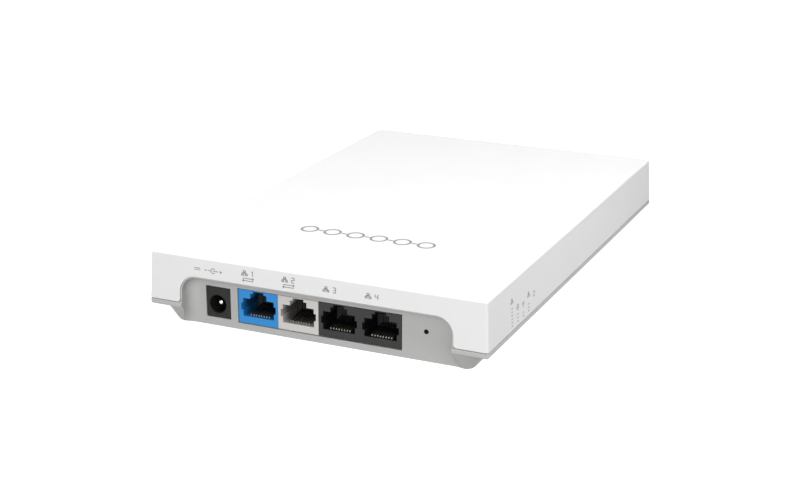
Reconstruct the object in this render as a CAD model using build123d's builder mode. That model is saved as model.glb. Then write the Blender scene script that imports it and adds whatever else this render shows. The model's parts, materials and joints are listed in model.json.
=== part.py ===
"""Wall-plate network gateway: a thin plastic housing with four Ethernet ports and a power inlet at its front,
two Ethernet ports in its belly that face the wall, and one circuit board that hangs over all of them.

Frame: millimetres, X along the front, Y from the front (-Y) to the back, Z up. The origin is the centre of
the object's outline on the surface that it lies on.
"""
from build123d import *
from math import radians, tan
import os

os.makedirs("parts", exist_ok=True)

# ---------------------------------------------------------------- driving dimensions
TOP_WIDTH = 123.4          # cover's top face, along X
TOP_LENGTH = 185.8         # cover's top face, along Y
COVER_HEIGHT = 17.0
DRAFT = 2.77               # degrees that the cover's walls lean inward
SEAM_Z = 9.3               # underside of the cover
WALL = 2.0                 # wall of both mouldings
CORNER_RADIUS = 0.9
INSIDE_CORNER_RADIUS = 1.3
TOP_EDGE_RADIUS = 0.8
MARGIN = 1.0               # how far a cut starts outside what it cuts
TOUCH = 0.01               # how near two places count as one
BURY = 0.5                 # how far a joined shape reaches into its neighbour

SPREAD = COVER_HEIGHT * tan(radians(DRAFT))
SEAM_WIDTH = TOP_WIDTH + 2 * SPREAD
SEAM_LENGTH = TOP_LENGTH + 2 * SPREAD
TOP_Z = SEAM_Z + COVER_HEIGHT
FRONT_Y = -SEAM_LENGTH / 2
BACK_Y = SEAM_LENGTH / 2

# base: a flange under the cover's walls and a belly with leaning sides
SHADOW_GAP = 0.3           # dark line between cover and flange
FLANGE_Z = 7.2
FLANGE_TOP = SEAM_Z - SHADOW_GAP
FLANGE_FOOT_RADIUS = 0.4   # edge between the flange and the belly
FLANGE_LIP_RADIUS = 0.25   # edge along the shadow gap
BELLY_HALF_WIDTH = 59.5    # at the flange
BELLY_BACK_INSET = 3.0
BELLY_LEAN = 33.0          # degrees from vertical
BELLY_EDGE_RADIUS = 2.6
# how much of the underside that rounding takes up
BELLY_EDGE_WIDTH = BELLY_EDGE_RADIUS / tan(radians((90 + BELLY_LEAN) / 2))
BELLY_CORNER_RADIUS = 7.0  # at the flange
BELLY_WALL_ACROSS = 2.4    # the leaning wall measured along X
TONGUE_INSET = 2.3         # rib of the base that sits inside the cover's wall
TONGUE_THICKNESS = 1.2
TONGUE_TOP = 12.0
LEDGE_INSET = 0.9

# port panel: an arch in the cover's front, and a recess in the base behind it
RECESS = 6.0
PANEL_Y = -TOP_LENGTH / 2 + RECESS
ARCH_HALF_WIDTH = 50.6
ARCH_TOP = 19.2
ARCH_RADIUS = 6.3
ARCH_FOOT_RADIUS = 1.2
ARCH_CUT = 5.0             # how far back the arch's cut reaches into the cover
ARCH_GAP = 0.12            # between the cover's arch and the base's rim
RIM = 0.55                 # width of the base's rim inside the arch
RIM_SET_BACK = 0.3         # rim's face behind the cover's wall
COVE_RADIUS = 4.0          # between the recess's walls and the panel
FOOT_FLARE = 7.0           # radius that opens the recess's side walls outward at their foot
BELLY_FRONT = PANEL_Y - FLANGE_Z * tan(radians(BELLY_LEAN)) - BELLY_EDGE_WIDTH    # at the flange
OVERRUN = 10.0             # how far a cut runs past what it cuts

# board
BOARD_BOTTOM = 14.67
BOARD_THICKNESS = 1.6
BOARD_TOP = BOARD_BOTTOM + BOARD_THICKNESS
BOARD_HALF_WIDTH = 58.0
BOARD_FRONT = -84.3
BOARD_BACK = 86.0
BOARD_CORNER_RADIUS = 2.0
BOSS_ROOM = 0.8            # between the cover's bosses and the board's holes round them
CEILING = TOP_Z - WALL

# RJ45 jacks
PORT_PITCH = 15.24
JACK_HEIGHT = 12.04
JACK_DEPTH = 15.6
REAR_JACK_DEPTH = 13.6
JACK_SET_BACK = 0.25       # jack faces behind the panel's face
JACK_GAP = 0.3             # panel opening around the jacks
ROW_CENTRE = -1.0
CAVITY_DEPTH = 12.2
INSERT_DEPTH = 1.9         # carrier block at the back of the cavity
MAIN_WIDTH, MAIN_HEIGHT, MAIN_TOP = 11.8, 6.5, 3.0
WING_WIDTH, WING_HEIGHT, WING_TOP = 13.3, 2.55, 4.75
KEY_WIDTH, KEY_TOP = 6.3, 1.15
LATCH_WIDTH, LATCH_TOP = 4.1, 0.25
WIRES = 8
WIRE_PITCH = 1.016
WIRE_WIDTH = 0.46
WIRE_THICKNESS = 0.3
WIRE_CROWN_DEPTH = 1.25    # behind the mouth
WIRE_END_DEPTH = 9.7
WIRE_CROWN = 0.5           # above the cavity's floor
WIRE_END = 1.75
WIRE_TAIL = 0.9
WIRE_BEND = 0.35
GROOVE_WIDTH = 0.66
GROOVE_DEPTH = 1.2
GROOVE_FRONT = 0.6         # behind the mouth
GROOVE_LENGTH = 2.2
INSERT_HEIGHT = 4.5
INSERT_GAP = 0.1           # between the carrier and the cavity's sides
COMB_DEPTH = 0.6           # slots in the carrier's face
COMB_RIM = 0.5             # above and below the slots
CAVITY_FLOOR = JACK_HEIGHT / 2 - MAIN_TOP - MAIN_HEIGHT    # from the jack's mid-height
ROW_BOTTOM = BOARD_BOTTOM - JACK_HEIGHT

# DC inlet
DC_X, DC_Z = -39.35, 8.565
DC_WIDTH, DC_HEIGHT = 9.3, 10.93
DC_FACE_DEPTH = 3.0
DC_DEPTH = 13.6
DC_SIDE_STEP = 0.3         # behind its face the inlet is narrower by this on each side
DC_FOOT_STEP = 0.2
BARREL_CHAMFER = 0.25
BARREL_X, BARREL_Z = -39.85, 7.8
BARREL_RADIUS = 3.2
BARREL_DEPTH = 9.6
DC_PIN_RADIUS = 1.0
DC_PIN_SET_BACK = 1.9
DC_PIN_DOME = 0.7
LEAF_WIDTH = 2.2
LEAF_THICKNESS = 0.3
LEAF_LENGTH = 6.6
LEAF_RISE = 0.6
LEAF_TIP_RISE = 0.3
LEAF_CREST = 0.75          # place of its highest point, as a share of its length
LEAF_BEND = 0.8
LEAF_ROOM = 0.35           # free space round it, below and at the sides
LEAF_START = 2.4           # its tip, behind the inlet's face
LEAF_Z = BARREL_Z - BARREL_RADIUS - LEAF_THICKNESS
DC_GAP = 0.2

# reset switch
RESET_X, RESET_Z = 38.4, 10.4
RESET_HOLE_RADIUS = 0.8
SWITCH_FRONT = -82.0
SWITCH_WIDTH = 6.0
SWITCH_BOTTOM = 7.4
SWITCH_DEPTH = 3.6
PLUNGER_RADIUS = 1.7
PLUNGER_TIP = -84.0
PLUNGER_LENGTH = 3.4
SWITCH_BORE = 2.2
SWITCH_SHEET = 0.25
SWITCH_EAR = 2.4           # how far the sheet's ears reach back along the sides
SWITCH_STEP = 1.0          # the ears stop this far above the switch's underside
SWITCH_TOP_GAP = 0.4       # between the sheet's front and the board
PLUNGER_CHAMFER = 0.2
FIT = 0.08                 # radial running clearance

# fasteners
CASE_SCREWS = [(x, y) for x in (-47.0, 47.0) for y in (-62.0, 78.0)]
BOARD_SCREWS = [(x, y) for x in (-40.0, 40.0) for y in (-34.0, 54.0)]
TUBE_RADIUS = 4.2
TUBE_TOP = 11.9
BOSS_RADIUS = 3.6
HEAD_SEAT = 8.0
HEAD_BORE_RADIUS = 3.0
DRIVE_WIDTH = 0.26         # cross recess, as shares of the head's radius and height
DRIVE_DEPTH = 0.6
HEAD_ROUNDING = 0.4
CASE_HOLE_RADIUS = 1.6
CASE_PILOT_RADIUS = 1.5
CASE_PILOT_DEPTH = 9.0
BOSS_GAP = 0.1             # between a base tube's top and the cover's boss
BOARD_BOSS_RADIUS = 2.8
BOARD_PILOT_RADIUS = 1.15
BOARD_PILOT_DEPTH = 8.0
BOARD_HOLE_RADIUS = 1.3
STANDING = (Align.CENTER, Align.CENTER, Align.MIN)

# wall side
REAR_JACK_Y = 10.0
REAR_MOUTH_Z = 0.8
KEYHOLE_SPACING = 83.3     # a single wall box's screw spacing
KEYHOLE_HEAD_RADIUS = 3.9
KEYHOLE_SLOT_RADIUS = 2.1
KEYHOLE_SLOT = 7.0
LABEL_SIZE = (52.0, 26.0)
LABEL_Y = -56.0
LABEL_RECESS = 0.3
LABEL_THICKNESS = 0.12
LABEL_GAP = 0.3            # round the label in its recess
LABEL_CORNER_RADIUS = 1.2

# status lights behind the right wall
STATUS_LIGHTS = 5
STATUS_PITCH = 5.3
STATUS_X = 55.0
STATUS_Y = -60.9
STATUS_REACH = 59.6        # where the light guide's fingers end
GUIDE_X = (STATUS_X + 1.5, STATUS_X + 2.7)
GUIDE_HEIGHT = 2.4
GUIDE_END = 1.5            # past the outer fingers
FINGER_HALF_WIDTH = 0.9
FINGER_Z = (0.2, 1.8)      # above the board

# what stands on the board
CHIP_HEIGHT = 1.3
ABOVE, BELOW = 1, -1       # sides of the board
PAD_THICKNESS = 0.8
PROCESSOR = (0.0, 12.0)
SHIELD_HEIGHT = 3.0
SHIELD_SHEET = 0.3
SHIELD_SIZE = (24.0, 22.0)
SHIELD_CORNER_RADIUS = 1.2
SHIELD_EDGE_RADIUS = 0.5
VENT_PITCH = 3.2
VENT_RADIUS = 0.6
VENT_GRID = (5, 4)
RADIOS = [(-36.0, 38.0), (36.0, 38.0)]
PAD_SIZE = (16.0, 16.0)
SPREADER_SIZE = (40.0, 44.0)
SPREADER_CORNER_RADIUS = 1.0
SPREADER_BASE = 1.6
FINS = 10
FIN_PITCH = 4.0
FIN_SIZE = (1.1, 43.0)
FIN_CLEARANCE = 0.8        # below the cover
TRANSFORMERS = [(ROW_CENTRE + (i - 1.5) * PORT_PITCH, -62.0) for i in range(4)]
INDUCTORS = [(-52.0, -40.0), (-20.0, -38.0), (22.0, -38.0)]
CAPACITORS = [(-50.0, -30.0), (-50.0, -20.0), (-40.0, -74.0)]
PASSIVES = [(x * 3.2 - 14.4, y) for x in range(10) for y in (-14.0, 38.0)]
ANTENNA_LENGTH = 22.0
ANTENNA_HEIGHT = 6.0
ANTENNA_STRIP = 2.4
ANTENNA_LEG = 1.2
ANTENNA_LEGS = (0.8, 4.5)  # from the strip's near end
ANTENNA_SHEET = 0.4
ANTENNAS = [(-30.0, 84.0, 0), (30.0, 84.0, 0), (-56.0, 30.0, 90), (56.0, 30.0, 90)]
CAN_RADIUS = 3.1
CAN_HEIGHT = 5.6
CAN_EDGE_RADIUS = 0.4
STATUS_PLACES = [
    (STATUS_X, STATUS_Y + (i - (STATUS_LIGHTS - 1) / 2) * STATUS_PITCH) for i in range(STATUS_LIGHTS)
]
PACKAGES = [
    # name, places, size, height, chamfer round the outer face, side of the board
    ("main_processor", [PROCESSOR], (19.0, 19.0), CHIP_HEIGHT, 0.15, ABOVE),
    ("memory_chips", [(-26.0, 5.0), (-26.0, 19.0)], (9.0, 13.0), 1.1, 0.12, ABOVE),
    ("flash_chip", [(27.0, 0.0)], (6.0, 5.0), 1.4, 0.12, ABOVE),
    ("switch_chip", [(0.0, -52.0)], (14.0, 14.0), 1.2, 0.12, BELOW),
    ("radio_chips", RADIOS, (9.0, 9.0), 0.9, 0.1, ABOVE),
    ("power_controller", [(-24.0, -34.0)], (5.0, 5.0), 0.9, 0.1, BELOW),
    ("lan_transformers", TRANSFORMERS, (12.7, 9.0), 5.6, 0.3, ABOVE),
    ("power_transformer", [(-38.0, -18.0)], (16.0, 14.0), 6.4, 0.6, ABOVE),
    ("power_inductors", INDUCTORS, (6.5, 6.5), 3.0, 0.5, ABOVE),
    ("crystals", [(16.0, -12.0), (24.0, 52.0)], (3.2, 2.5), 0.8, 0.12, ABOVE),
    ("chip_capacitors", PASSIVES, (1.6, 0.8), 0.7, 0.0, ABOVE),
    ("status_lights", STATUS_PLACES, (1.0, 1.6), 1.4, 0.0, ABOVE),
]


def save(part, name):
    """Labels a finished piece and writes its STEP file."""
    part.label = name
    export_step(part, f"parts/{name}.step")


def front_plane(y):
    """A plane that faces the front, at y: sketches on it have X across and Z up."""
    return Plane.XZ.offset(-y)


def block(x, y, z, mode=Mode.ADD):
    """A box between pairs of limits along X, Y and Z, joined to the part being built or cut from it."""
    with BuildSketch(Plane.XY.offset(z[0])) as outline:
        with Locations(((x[0] + x[1]) / 2, (y[0] + y[1]) / 2)):
            Rectangle(x[1] - x[0], y[1] - y[0])
    extrude(outline.sketch, amount=z[1] - z[0], mode=mode)


# ---------------------------------------------------------------- housing
def rounded_slab(inset, low, high, radius):
    """Joins a slab of the housing's outline, set in from the seam's outline, between two heights."""
    with BuildSketch(Plane.XY.offset(low)) as outline:
        RectangleRounded(SEAM_WIDTH - 2 * inset, SEAM_LENGTH - 2 * inset, radius)
    extrude(outline.sketch, amount=high - low)


def drafted_slab(inset, low, high, radius):
    """A slab whose sides have the cover's draft, with corners of one radius all the way up."""
    with BuildPart() as slab:
        with BuildSketch(Plane.XY.offset(low)):
            Rectangle(SEAM_WIDTH - 2 * inset, SEAM_LENGTH - 2 * inset)
        extrude(amount=high - low, taper=DRAFT)
        level = slab.edges().filter_by(Axis.X) + slab.edges().filter_by(Axis.Y)
        fillet([edge for edge in slab.edges() if edge not in level], radius)
    return slab.part


def arch_prism(inset, foot, front, back):
    """The arch's shape from y = front to y = back, set in from the cover's edge and standing on foot."""
    top = ARCH_TOP - inset
    with BuildSketch(front_plane(back)) as arch:
        with Locations((0, (top + foot) / 2)):
            Rectangle(2 * (ARCH_HALF_WIDTH - inset), top - foot)
        fillet(arch.vertices().group_by(Axis.Y)[-1], ARCH_RADIUS - inset)
    extrude(arch.sketch, amount=back - front)


def top_cover():
    with BuildPart() as cut:
        arch_prism(0, SEAM_Z - MARGIN, FRONT_Y - MARGIN, FRONT_Y + ARCH_CUT)
    outside = drafted_slab(0, SEAM_Z, TOP_Z, CORNER_RADIUS)
    inside = drafted_slab(WALL, SEAM_Z, CEILING, INSIDE_CORNER_RADIUS)
    with BuildPart() as cover:
        add(outside)
        fillet(cover.faces().sort_by(Axis.Z)[-1].edges(), TOP_EDGE_RADIUS)
        add(inside, mode=Mode.SUBTRACT)
        add(cut.part, mode=Mode.SUBTRACT)
        feet = cover.edges().filter_by(Axis.Y).filter_by_position(Axis.Z, SEAM_Z - TOUCH, SEAM_Z + TOUCH)
        near_arch = ARCH_HALF_WIDTH + MARGIN
        fillet(feet.filter_by_position(Axis.X, -near_arch, near_arch), ARCH_FOOT_RADIUS)
        with BuildSketch(Plane.XY.offset(TUBE_TOP + BOSS_GAP)) as bosses:
            with Locations(*CASE_SCREWS):
                Circle(BOSS_RADIUS)
        extrude(bosses.sketch, amount=CEILING + WALL / 4 - TUBE_TOP - BOSS_GAP)
        with BuildSketch(Plane.XY.offset(TUBE_TOP)) as pilots:
            with Locations(*CASE_SCREWS):
                Circle(CASE_PILOT_RADIUS)
        extrude(pilots.sketch, amount=CASE_PILOT_DEPTH, mode=Mode.SUBTRACT)
    return cover.part


def belly_block(shrink, low):
    """The belly's leaning sides from the flange down to z = low, set in by shrink."""
    front, back = BELLY_FRONT + shrink, BACK_Y - BELLY_BACK_INSET - shrink
    with BuildPart() as belly:
        with BuildSketch(Plane.XY.offset(FLANGE_Z)):
            with Locations((0, (front + back) / 2)):
                RectangleRounded(2 * (BELLY_HALF_WIDTH - shrink), back - front, BELLY_CORNER_RADIUS)
        extrude(amount=low - FLANGE_Z, taper=BELLY_LEAN)
    return belly.part


def port_pocket():
    """The recess in front of the panel: the arch's shape with side walls that flare out at their foot."""
    half, top = ARCH_HALF_WIDTH - RIM, ARCH_TOP - RIM
    with BuildPart() as pocket:
        with BuildSketch(front_plane(PANEL_Y)) as outline:
            with Locations((0, top / 2)):
                Rectangle(2 * half, top)
            fillet(outline.vertices().group_by(Axis.Y)[-1], ARCH_RADIUS - RIM)
            with Locations((0, -OVERRUN / 2)):
                Rectangle(2 * (half + OVERRUN), OVERRUN)
            feet = outline.vertices().filter_by(lambda v: abs(v.Z) < TOUCH and abs(abs(v.X) - half) < TOUCH)
            fillet(feet, FOOT_FLARE)
        extrude(amount=PANEL_Y - FRONT_Y + OVERRUN)
        back_edges = pocket.faces().sort_by(Axis.Y)[-1].edges()
        fillet(back_edges.filter_by(lambda edge: edge.center().Z > 0), COVE_RADIUS)
    return pocket.part


def base_shell():
    belly = belly_block(0, 0)
    with BuildPart() as hollow:
        add(belly_block(BELLY_WALL_ACROSS, WALL))
        split(bisect_by=front_plane(PANEL_Y + WALL), keep=Keep.BOTTOM)
    with BuildPart() as port_block:
        arch_prism(ARCH_GAP, FLANGE_Z, FRONT_Y - MARGIN, PANEL_Y + WALL)
        add(drafted_slab(RIM_SET_BACK, FLANGE_Z, TOP_Z, CORNER_RADIUS), mode=Mode.INTERSECT)
    pocket = port_pocket()

    with BuildPart() as base:
        rounded_slab(0, FLANGE_Z, FLANGE_TOP, CORNER_RADIUS)
        fillet(base.faces().sort_by(Axis.Z)[0].edges(), FLANGE_FOOT_RADIUS)
        fillet(base.faces().sort_by(Axis.Z)[-1].edges(), FLANGE_LIP_RADIUS)
        rounded_slab(LEDGE_INSET, FLANGE_TOP - BURY, SEAM_Z, CORNER_RADIUS)
        rounded_slab(TONGUE_INSET, SEAM_Z - BURY, TONGUE_TOP, INSIDE_CORNER_RADIUS)
        add(port_block.part)
        tongue_inside = TONGUE_INSET + TONGUE_THICKNESS
        room_x = SEAM_WIDTH / 2 - tongue_inside
        room_y = (PANEL_Y + WALL, BACK_Y - tongue_inside)
        block((-room_x, room_x), room_y, (FLANGE_Z, ARCH_TOP + MARGIN), Mode.SUBTRACT)
        add(belly)
        fillet(base.faces().sort_by(Axis.Z)[0].edges(), BELLY_EDGE_RADIUS)
        add(hollow.part, mode=Mode.SUBTRACT)
        add(pocket, mode=Mode.SUBTRACT)
        base_fastener_tubes()
        base_openings()
    return base.part


def base_fastener_tubes():
    """Tubes for the case screws, open below for their heads, and bosses that the board stands on."""
    with BuildSketch(Plane.XY.offset(WALL / 2)) as tubes:
        with Locations(*CASE_SCREWS):
            Circle(TUBE_RADIUS)
    extrude(tubes.sketch, amount=TUBE_TOP - WALL / 2)
    with BuildSketch(Plane.XY.offset(WALL / 2)) as bosses:
        with Locations(*BOARD_SCREWS):
            Circle(BOARD_BOSS_RADIUS)
    extrude(bosses.sketch, amount=BOARD_BOTTOM - WALL / 2)
    with Locations(*[(x, y, 0) for x, y in CASE_SCREWS]):
        Cylinder(HEAD_BORE_RADIUS, HEAD_SEAT, align=STANDING, mode=Mode.SUBTRACT)
        Cylinder(CASE_HOLE_RADIUS, TUBE_TOP + MARGIN, align=STANDING, mode=Mode.SUBTRACT)
    with Locations(*[(x, y, BOARD_BOTTOM - BOARD_PILOT_DEPTH) for x, y in BOARD_SCREWS]):
        Cylinder(BOARD_PILOT_RADIUS, BOARD_PILOT_DEPTH + MARGIN, align=STANDING, mode=Mode.SUBTRACT)


def base_openings():
    """Openings in the port panel and in the belly's floor."""
    through = (PANEL_Y - MARGIN, PANEL_Y + WALL + MARGIN)
    row = 2 * PORT_PITCH + JACK_GAP
    block(
        (ROW_CENTRE - row, ROW_CENTRE + row),
        through,
        (ROW_BOTTOM - JACK_GAP, BOARD_BOTTOM + JACK_GAP),
        Mode.SUBTRACT,
    )
    half_dc = DC_WIDTH / 2 + DC_GAP
    block(
        (DC_X - half_dc, DC_X + half_dc),
        through,
        (DC_Z - DC_HEIGHT / 2 - DC_GAP, DC_Z + DC_HEIGHT / 2 + DC_GAP),
        Mode.SUBTRACT,
    )
    behind_face = (PANEL_Y + DC_FACE_DEPTH, through[1] + MARGIN)
    block((DC_X - half_dc, DC_X + half_dc), behind_face, (DC_Z, BOARD_TOP), Mode.SUBTRACT)
    with Locations(Plane(origin=(RESET_X, PANEL_Y, RESET_Z), z_dir=(0, 1, 0))):
        Cylinder(RESET_HOLE_RADIUS, 3 * WALL, mode=Mode.SUBTRACT)
    half_jack = PORT_PITCH + JACK_GAP
    block(
        (-half_jack, half_jack),
        (REAR_JACK_Y - JACK_HEIGHT / 2 - JACK_GAP, REAR_JACK_Y + JACK_HEIGHT / 2 + JACK_GAP),
        (-MARGIN, WALL + MARGIN),
        Mode.SUBTRACT,
    )
    for y in (REAR_JACK_Y - KEYHOLE_SPACING / 2, REAR_JACK_Y + KEYHOLE_SPACING / 2):
        with BuildSketch(Plane.XY.offset(-MARGIN)) as keyhole:
            with Locations((0, y)):
                SlotOverall(2 * KEYHOLE_SLOT_RADIUS + KEYHOLE_SLOT, 2 * KEYHOLE_SLOT_RADIUS, rotation=90)
            with Locations((0, y - KEYHOLE_SLOT / 2)):
                Circle(KEYHOLE_HEAD_RADIUS)
        extrude(keyhole.sketch, amount=WALL + 2 * MARGIN, mode=Mode.SUBTRACT)
    block(
        (-LABEL_SIZE[0] / 2, LABEL_SIZE[0] / 2),
        (LABEL_Y - LABEL_SIZE[1] / 2, LABEL_Y + LABEL_SIZE[1] / 2),
        (-MARGIN, LABEL_RECESS),
        Mode.SUBTRACT,
    )


# ---------------------------------------------------------------- RJ45 jacks
def front_mouth(ports_from, ports):
    """The mouth plane of a jack in the front row: X along the row, Y towards the latches, Z outward."""
    x = ROW_CENTRE + (ports_from + ports / 2 - 2) * PORT_PITCH
    centre = (x, PANEL_Y + JACK_SET_BACK, ROW_BOTTOM + JACK_HEIGHT / 2)
    return Plane(origin=centre, x_dir=(1, 0, 0), z_dir=(0, -1, 0))


def rear_mouth():
    """The mouth plane of the jack in the belly, which faces the wall."""
    return Plane(origin=(0, REAR_JACK_Y, REAR_MOUTH_Z), x_dir=(1, 0, 0), z_dir=(0, 0, -1))


def port_centres(ports):
    return [(i - (ports - 1) / 2) * PORT_PITCH for i in range(ports)]


def wire_offsets():
    return [(i - (WIRES - 1) / 2) * WIRE_PITCH for i in range(WIRES)]


def side_plane(mouth, x):
    """A plane across the row at x: its X runs into the jack, its Y towards the latch side."""
    return Plane(origin=mouth.from_local_coords(Vector(x, 0, 0)), x_dir=-mouth.z_dir, z_dir=mouth.x_dir)


def port_opening(mouth, x):
    """The outline that a plug goes into, with the stepped keyway for its latch."""
    top = JACK_HEIGHT / 2
    steps = [
        (MAIN_WIDTH, MAIN_TOP, MAIN_HEIGHT),
        (WING_WIDTH, WING_TOP, WING_HEIGHT),
        (KEY_WIDTH, KEY_TOP, MAIN_TOP - KEY_TOP + BURY),
        (LATCH_WIDTH, LATCH_TOP, KEY_TOP - LATCH_TOP + BURY),
    ]
    with BuildSketch(mouth) as opening:
        for width, down, height in steps:
            with Locations((x, top - down - height / 2)):
                Rectangle(width, height)
    return opening.sketch


def jack_housing(mouth, ports, depth):
    width = ports * PORT_PITCH
    with BuildPart() as housing:
        with BuildSketch(mouth):
            Rectangle(width, JACK_HEIGHT)
        extrude(amount=-depth)
        for x in port_centres(ports):
            extrude(port_opening(mouth, x), amount=-CAVITY_DEPTH, mode=Mode.SUBTRACT)
            for wire in wire_offsets():
                with BuildSketch(side_plane(mouth, x + wire - GROOVE_WIDTH / 2)) as groove:
                    with Locations((GROOVE_FRONT, CAVITY_FLOOR + BURY)):
                        Rectangle(GROOVE_LENGTH, GROOVE_DEPTH + BURY, align=(Align.MIN, Align.MAX))
                extrude(groove.sketch, amount=GROOVE_WIDTH, mode=Mode.SUBTRACT)
    return housing.part


def jack_insert(mouth, ports):
    """The carrier at the back of each cavity that holds the wires apart."""
    with BuildPart() as insert:
        for x in port_centres(ports):
            middle = CAVITY_FLOOR + INSERT_GAP / 2 + INSERT_HEIGHT / 2
            with BuildSketch(mouth.offset(-CAVITY_DEPTH)) as carrier:
                with Locations((x, middle)):
                    Rectangle(MAIN_WIDTH - 2 * INSERT_GAP, INSERT_HEIGHT)
            extrude(carrier.sketch, amount=INSERT_DEPTH)
            for wire in wire_offsets():
                with BuildSketch(mouth.offset(INSERT_DEPTH - CAVITY_DEPTH)) as comb:
                    with Locations((x + wire, middle)):
                        Rectangle(GROOVE_WIDTH, INSERT_HEIGHT - 2 * COMB_RIM)
                extrude(comb.sketch, amount=-COMB_DEPTH, mode=Mode.SUBTRACT)
    return insert.part


def contact_wires(mouth, x):
    """The eight spring wires of one port: each bends over the front comb and rises towards the back."""
    crown = CAVITY_FLOOR + WIRE_CROWN
    with BuildPart() as wires:
        for wire in wire_offsets():
            with BuildSketch(side_plane(mouth, x + wire - WIRE_WIDTH / 2)) as profile:
                with BuildLine() as route:
                    FilletPolyline(
                        (WIRE_CROWN_DEPTH, CAVITY_FLOOR - WIRE_TAIL),
                        (WIRE_CROWN_DEPTH, crown),
                        (WIRE_END_DEPTH, CAVITY_FLOOR + WIRE_END),
                        radius=WIRE_BEND,
                    )
                trace(line_width=WIRE_THICKNESS)
            extrude(profile.sketch, amount=WIRE_WIDTH)
    return wires.part


# ---------------------------------------------------------------- DC inlet
def dc_housing():
    face = PANEL_Y + JACK_SET_BACK
    with BuildPart() as housing:
        block(
            (DC_X - DC_WIDTH / 2, DC_X + DC_WIDTH / 2),
            (face, face + DC_FACE_DEPTH),
            (DC_Z - DC_HEIGHT / 2, DC_Z + DC_HEIGHT / 2),
        )
        block(
            (DC_X - DC_WIDTH / 2 + DC_SIDE_STEP, DC_X + DC_WIDTH / 2 - DC_SIDE_STEP),
            (face + DC_FACE_DEPTH, face + DC_DEPTH),
            (DC_Z - DC_HEIGHT / 2 + DC_FOOT_STEP, BOARD_BOTTOM),
        )
        with Locations(Plane(origin=(BARREL_X, face, BARREL_Z), z_dir=(0, 1, 0))):
            Cylinder(BARREL_RADIUS, BARREL_DEPTH, align=STANDING, mode=Mode.SUBTRACT)
        rim = housing.edges().filter_by(GeomType.CIRCLE).sort_by(Axis.Y)[0]
        chamfer(rim, BARREL_CHAMFER)
        block(
            (BARREL_X - LEAF_WIDTH / 2 - LEAF_ROOM, BARREL_X + LEAF_WIDTH / 2 + LEAF_ROOM),
            (face + LEAF_START - LEAF_ROOM, face + BARREL_DEPTH),
            (LEAF_Z - LEAF_THICKNESS / 2 - LEAF_ROOM, BARREL_Z - BARREL_RADIUS + MARGIN),
            Mode.SUBTRACT,
        )
    return housing.part


def dc_pin():
    """The inlet's centre pin, with a domed tip."""
    face = PANEL_Y + JACK_SET_BACK
    length = BARREL_DEPTH - DC_PIN_SET_BACK
    with BuildPart() as pin:
        with Locations(Plane(origin=(BARREL_X, face + BARREL_DEPTH, BARREL_Z), z_dir=(0, -1, 0))):
            Cylinder(DC_PIN_RADIUS, length, align=STANDING)
        fillet(pin.faces().sort_by(Axis.Y)[0].edges(), DC_PIN_DOME)
    return pin.part


def dc_leaf():
    """The sleeve spring under the barrel: fixed at its back end, with a raised tip that the plug presses."""
    face = PANEL_Y + JACK_SET_BACK
    hinge = face + LEAF_START + LEAF_LENGTH
    with BuildPart() as leaf:
        with BuildSketch(Plane.YZ.offset(BARREL_X - LEAF_WIDTH / 2)):
            with BuildLine():
                FilletPolyline(
                    (hinge, LEAF_Z),
                    (hinge - LEAF_CREST * LEAF_LENGTH, LEAF_Z + LEAF_RISE),
                    (hinge - LEAF_LENGTH, LEAF_Z + LEAF_TIP_RISE),
                    radius=LEAF_BEND,
                )
            trace(line_width=LEAF_THICKNESS)
        extrude(amount=LEAF_WIDTH)
    return leaf.part


# ---------------------------------------------------------------- reset switch
def switch_body():
    with BuildPart() as body:
        block(
            (RESET_X - SWITCH_WIDTH / 2, RESET_X + SWITCH_WIDTH / 2),
            (SWITCH_FRONT, SWITCH_FRONT + SWITCH_DEPTH),
            (SWITCH_BOTTOM, BOARD_BOTTOM),
        )
        with Locations(Plane(origin=(RESET_X, SWITCH_FRONT, RESET_Z), z_dir=(0, 1, 0))):
            Cylinder(PLUNGER_RADIUS + FIT, SWITCH_BORE, align=STANDING, mode=Mode.SUBTRACT)
    return body.part


def switch_frame():
    """The bent sheet that clips over the switch and leads down the sides to the board."""
    half = SWITCH_WIDTH / 2
    sheet = SWITCH_SHEET
    with BuildPart() as frame:
        block(
            (RESET_X - half - sheet, RESET_X + half + sheet),
            (SWITCH_FRONT - sheet, SWITCH_FRONT),
            (SWITCH_BOTTOM, BOARD_BOTTOM - SWITCH_TOP_GAP),
        )
        for low in (RESET_X - half - sheet, RESET_X + half):
            ear = (SWITCH_FRONT - sheet, SWITCH_FRONT + SWITCH_EAR)
            block((low, low + sheet), ear, (SWITCH_BOTTOM + SWITCH_STEP, BOARD_BOTTOM))
        with Locations(Plane(origin=(RESET_X, SWITCH_FRONT, RESET_Z), z_dir=(0, 1, 0))):
            Cylinder(PLUNGER_RADIUS + FIT, 4 * sheet, mode=Mode.SUBTRACT)
    return frame.part


def reset_plunger():
    with BuildPart() as plunger:
        with Locations(Plane(origin=(RESET_X, PLUNGER_TIP, RESET_Z), z_dir=(0, 1, 0))):
            Cylinder(PLUNGER_RADIUS, PLUNGER_LENGTH, align=STANDING)
        chamfer(plunger.faces().sort_by(Axis.Y)[0].edges(), PLUNGER_CHAMFER)
    return plunger.part


# ---------------------------------------------------------------- circuit board and what stands on it
def main_board():
    with BuildPart() as board:
        with BuildSketch(Plane.XY.offset(BOARD_BOTTOM)) as outline:
            with Locations((0, (BOARD_FRONT + BOARD_BACK) / 2)):
                RectangleRounded(2 * BOARD_HALF_WIDTH, BOARD_BACK - BOARD_FRONT, BOARD_CORNER_RADIUS)
            with Locations(*CASE_SCREWS):
                Circle(BOSS_RADIUS + BOSS_ROOM, mode=Mode.SUBTRACT)
            with Locations(*BOARD_SCREWS):
                Circle(BOARD_HOLE_RADIUS, mode=Mode.SUBTRACT)
        extrude(amount=BOARD_THICKNESS)
    return board.part


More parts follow.
